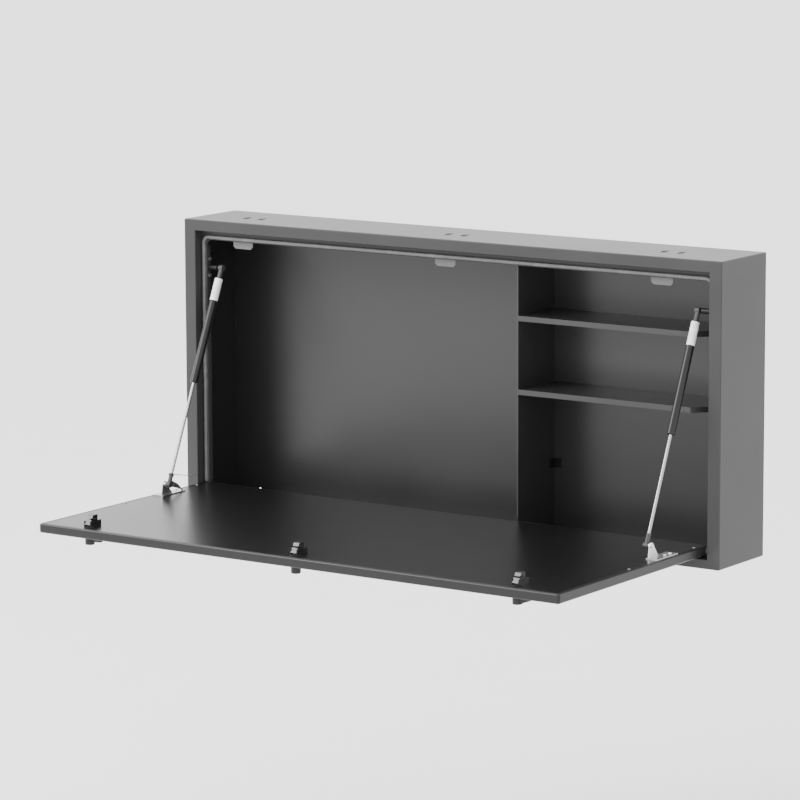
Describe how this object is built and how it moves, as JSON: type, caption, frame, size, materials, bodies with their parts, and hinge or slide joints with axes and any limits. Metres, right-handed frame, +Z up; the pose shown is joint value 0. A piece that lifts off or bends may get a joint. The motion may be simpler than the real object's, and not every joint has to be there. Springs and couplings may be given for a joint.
{
  "type": "wall-mounted fold-down desk cabinet",
  "caption": "Shallow sheet-metal wall cabinet whose drop-front door folds down on gas struts to make a desk, with a divider, shelves and turn-knob latches.",
  "frame": {"origin": "centre of the wall fixings, on the cabinet's back face", "axes": "+X to the right seen from the room, +Y into the wall, +Z up; the door is open and level at rest"},
  "size_m": [1.2, 0.6528, 0.5616],
  "materials": {
    "paint_dark": "satin fine texture",
    "seal_rubber": "matte",
    "core_board": "raw board",
    "bush_plastic": "matte",
    "strut_black": "gloss",
    "label_white": "satin",
    "rod_chrome": "polished",
    "socket_grey": "matte",
    "latch_black": "satin",
    "latch_steel": "brushed",
    "zinc_steel": "zinc plated"
  },
  "bodies": {
    "cabinet": {"anchor_screws": "paint_dark", "back_panel": "paint_dark", "case_wrap": "paint_dark", "catch_nuts": "zinc_steel", "catch_plate_left": "paint_dark", "catch_plate_middle": "paint_dark", "catch_plate_right": "paint_dark", "catch_screws": "zinc_steel", "divider": "paint_dark", "divider_clip": "paint_dark", "door_seal": "seal_rubber", "front_frame": "paint_dark", "pivot_pins": "zinc_steel", "shelf_lower": "paint_dark", "shelf_rivets": "zinc_steel", "shelf_upper": "paint_dark", "strut_anchor_left": "paint_dark", "strut_anchor_right": "paint_dark", "strut_upper_stud_left": "zinc_steel", "strut_upper_stud_right": "zinc_steel"},
    "door": {"bracket_screws": "zinc_steel", "door_core": "core_board", "door_edge_screws": "zinc_steel", "door_panel": "paint_dark", "door_skin": "paint_dark", "latch_housing_left": "latch_black", "latch_housing_middle": "latch_black", "latch_housing_right": "latch_black", "latch_nut_left": "latch_black", "latch_nut_middle": "latch_black", "latch_nut_right": "latch_black", "pivot_bushes": "bush_plastic", "strut_lower_bracket_left": "zinc_steel", "strut_lower_bracket_right": "zinc_steel", "strut_lower_stud_left": "zinc_steel", "strut_lower_stud_right": "zinc_steel"},
    "knob_left": {"latch_cam_left": "latch_steel", "latch_knob_left": "latch_black"},
    "knob_middle": {"latch_cam_middle": "latch_steel", "latch_knob_middle": "latch_black"},
    "knob_right": {"latch_cam_right": "latch_steel", "latch_knob_right": "latch_black"},
    "tongue_left": {"latch_tongue_left": "latch_steel"},
    "tongue_middle": {"latch_tongue_middle": "latch_steel"},
    "tongue_right": {"latch_tongue_right": "latch_steel"},
    "strut_tube_left": {"strut_label_left": "label_white", "strut_tube_left": "strut_black", "strut_upper_socket_left": "socket_grey"},
    "strut_tube_right": {"strut_label_right": "label_white", "strut_tube_right": "strut_black", "strut_upper_socket_right": "socket_grey"},
    "strut_rod_left": {"strut_lower_socket_left": "socket_grey", "strut_piston_left": "socket_grey", "strut_rod_left": "rod_chrome", "strut_safety_clip": "zinc_steel"},
    "strut_rod_right": {"strut_lower_socket_right": "socket_grey", "strut_piston_right": "socket_grey", "strut_rod_right": "rod_chrome"}
  },
  "joints": [
    {"name": "door_hinge", "type": "hinge", "parent": "cabinet", "child": "door", "pos_m": [0, -0.15125, -0.247], "axis": [-1, 0, 0], "range_deg": [0, 90]},
    {"name": "strut_swing_left", "type": "hinge", "parent": "cabinet", "child": "strut_tube_left", "pos_m": [-0.534, -0.129, 0.184], "axis": [1, 0, 0], "range_deg": [0, 23]},
    {"name": "strut_stroke_left", "type": "slide", "parent": "strut_tube_left", "child": "strut_rod_left", "axis": [0, 0.4013, 0.9159], "range_m": [0, 0.1745]},
    {"name": "strut_swing_right", "type": "hinge", "parent": "cabinet", "child": "strut_tube_right", "pos_m": [0.534, -0.129, 0.184], "axis": [1, 0, 0], "range_deg": [0, 23]},
    {"name": "strut_stroke_right", "type": "slide", "parent": "strut_tube_right", "child": "strut_rod_right", "axis": [0, 0.4013, 0.9159], "range_m": [0, 0.1745]},
    {"name": "latch_bolt_left", "type": "slide", "parent": "door", "child": "tongue_left", "axis": [0, 1, 0], "range_m": [0, 0.00707]},
    {"name": "latch_turn_left", "type": "hinge", "parent": "door", "child": "knob_left", "pos_m": [-0.47, -0.62675, -0.247], "axis": [0, 0, 1], "range_deg": [0, 90.1]},
    {"name": "latch_bolt_middle", "type": "slide", "parent": "door", "child": "tongue_middle", "axis": [0, 1, 0], "range_m": [0, 0.00707]},
    {"name": "latch_turn_middle", "type": "hinge", "parent": "door", "child": "knob_middle", "pos_m": [0, -0.62675, -0.247], "axis": [0, 0, 1], "range_deg": [0, 90.1]},
    {"name": "latch_bolt_right", "type": "slide", "parent": "door", "child": "tongue_right", "axis": [0, 1, 0], "range_m": [0, 0.00707]},
    {"name": "latch_turn_right", "type": "hinge", "parent": "door", "child": "knob_right", "pos_m": [0.47, -0.62675, -0.247], "axis": [0, 0, 1], "range_deg": [0, 90.1]}
  ],
  "couplings": [
    {"joint": "strut_swing_left", "follows": "door_hinge", "ratio": 0.255},
    {"joint": "strut_stroke_left", "follows": "door_hinge", "m_per_rad": 0.111},
    {"joint": "strut_swing_right", "follows": "door_hinge", "ratio": 0.255},
    {"joint": "strut_stroke_right", "follows": "door_hinge", "m_per_rad": 0.111},
    {"joint": "latch_turn_left", "follows": "latch_bolt_left", "rad_per_m": 222.2},
    {"joint": "latch_turn_middle", "follows": "latch_bolt_middle", "rad_per_m": 222.2},
    {"joint": "latch_turn_right", "follows": "latch_bolt_right", "rad_per_m": 222.2}
  ]
}
